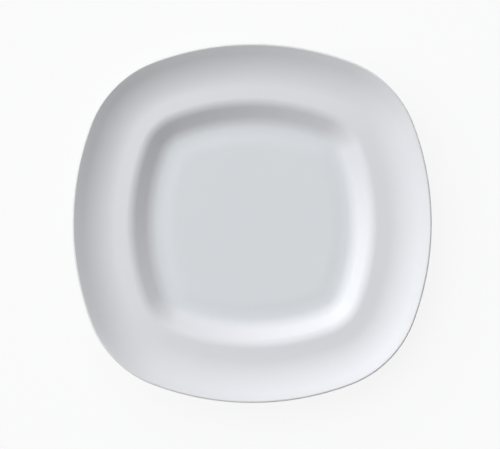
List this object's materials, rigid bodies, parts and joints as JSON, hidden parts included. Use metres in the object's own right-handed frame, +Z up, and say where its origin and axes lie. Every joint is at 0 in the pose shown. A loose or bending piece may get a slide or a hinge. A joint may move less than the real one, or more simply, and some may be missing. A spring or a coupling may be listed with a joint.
{
  "type": "dinner plate",
  "caption": "Rounded square dinner plate in white glazed porcelain, with a wide hollow rim, a flat well and a bare foot ring.",
  "frame": {"origin": "centre of the plate, on the plane that its foot ring stands on", "axes": "+Z up, out of the well; +X and +Y each run to the middle of a bowed side"},
  "size_m": [0.26, 0.26, 0.0243],
  "materials": {
    "bare_porcelain": "matte",
    "glaze": "gloss"
  },
  "bodies": {
    "root": {"porcelain_body": "bare_porcelain", "upper_glaze": "glaze", "recess_glaze": "glaze"}
  },
  "joints": []
}
